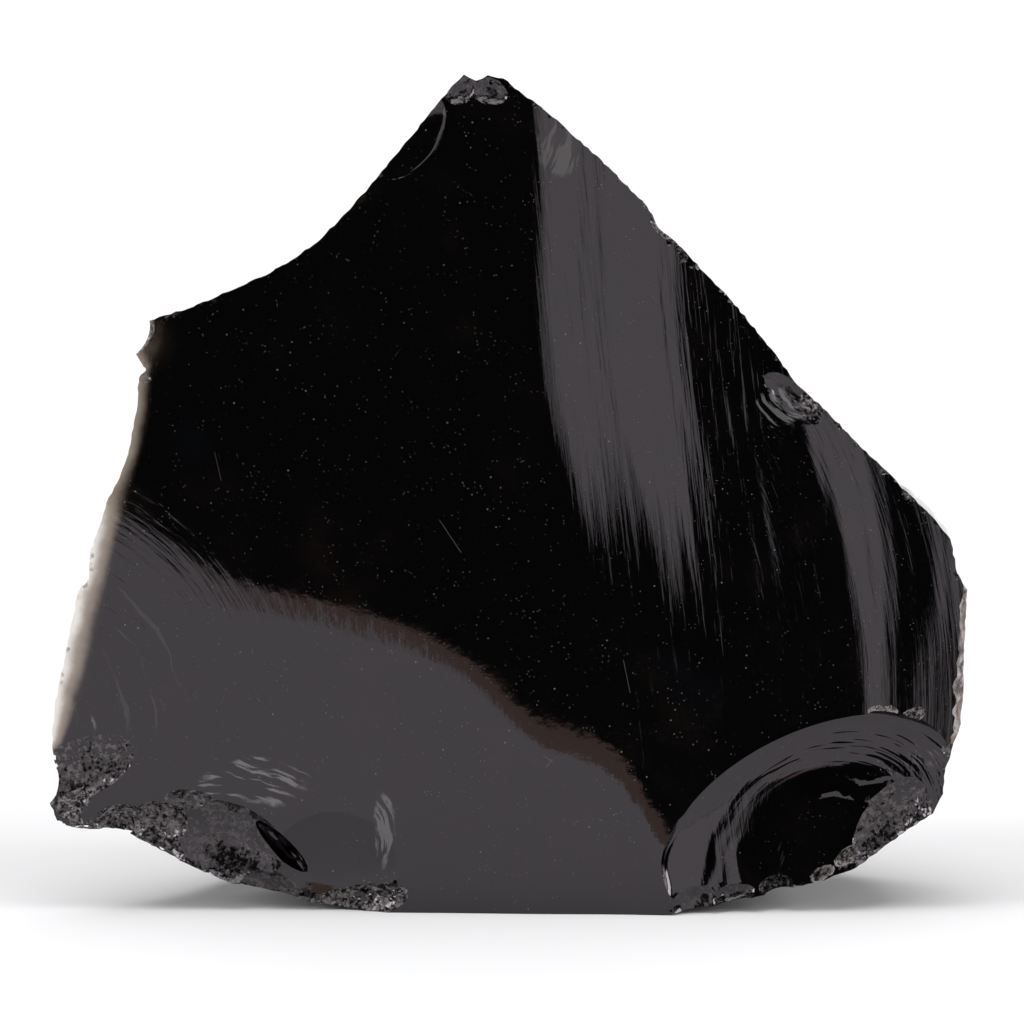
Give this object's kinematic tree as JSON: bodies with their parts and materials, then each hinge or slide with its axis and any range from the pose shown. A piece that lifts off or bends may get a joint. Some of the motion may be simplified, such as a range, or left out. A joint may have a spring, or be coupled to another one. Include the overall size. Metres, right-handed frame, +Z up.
{
  "type": "obsidian chunk",
  "caption": "Broken chunk of black volcanic glass with a broad mirror face, shell-like fracture scars and a thin see-through edge, standing on a flat base.",
  "frame": {"origin": "on the resting plane, at the middle of the chunk's bounding box", "axes": "+Z up, +X along the longest side, to the right of the broad mirror face, which looks along -Y"},
  "size_m": [0.1202, 0.0569, 0.1086],
  "materials": {
    "obsidian": "polished"
  },
  "bodies": {
    "root": {"obsidian_chunk": "obsidian"}
  },
  "joints": []
}
